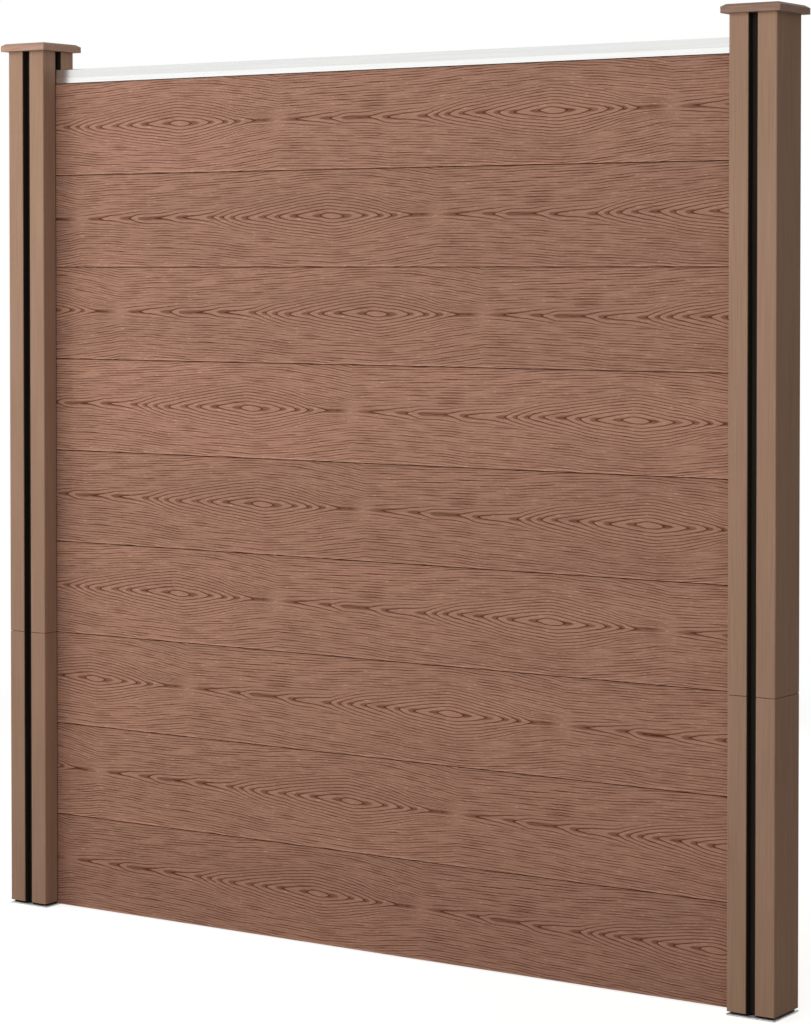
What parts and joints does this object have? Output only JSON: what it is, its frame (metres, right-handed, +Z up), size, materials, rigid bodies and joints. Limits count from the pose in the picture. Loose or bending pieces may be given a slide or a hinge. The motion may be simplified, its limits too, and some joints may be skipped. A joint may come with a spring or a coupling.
{
  "type": "fence panel",
  "caption": "Bay of a composite fence: wood-grain tongue-and-groove boards under a metal top rail, held between slotted, clad posts that stand on base plates.",
  "frame": {"origin": "on the ground, midway between the posts, in the middle of the panel's thickness", "axes": "+X along the bay to the right seen from the front, -Y to the front, +Z up"},
  "size_m": [1.9, 0.125, 1.89],
  "materials": {
    "board_composite": "embossed wood grain, matt",
    "cladding_composite": "fine lengthwise brushing, matt",
    "cap_composite": "matt moulded",
    "rail_aluminium": "satin anodised",
    "black_aluminium": "matt black powder coat",
    "black_rubber": "matt",
    "galvanised_steel": "galvanised",
    "screw_steel": "zinc plated"
  },
  "bodies": {
    "root": {"board_1": "board_composite", "board_2": "board_composite", "board_3": "board_composite", "board_4": "board_composite", "board_5": "board_composite", "board_6": "board_composite", "board_7": "board_composite", "board_8": "board_composite", "board_9": "board_composite", "top_rail": "rail_aluminium", "left_base_plate": "galvanised_steel", "left_foot_pad": "black_rubber", "left_spigot": "galvanised_steel", "left_core": "black_aluminium", "left_core_screws": "screw_steel", "left_lower_corner_cladding": "cladding_composite", "left_upper_corner_cladding": "cladding_composite", "left_lower_wrap_cladding": "cladding_composite", "left_upper_wrap_cladding": "cladding_composite", "left_cap": "cap_composite", "right_base_plate": "galvanised_steel", "right_foot_pad": "black_rubber", "right_spigot": "galvanised_steel", "right_core": "black_aluminium", "right_core_screws": "screw_steel", "right_lower_corner_cladding": "cladding_composite", "right_upper_corner_cladding": "cladding_composite", "right_lower_wrap_cladding": "cladding_composite", "right_upper_wrap_cladding": "cladding_composite", "right_cap": "cap_composite"}
  },
  "joints": []
}
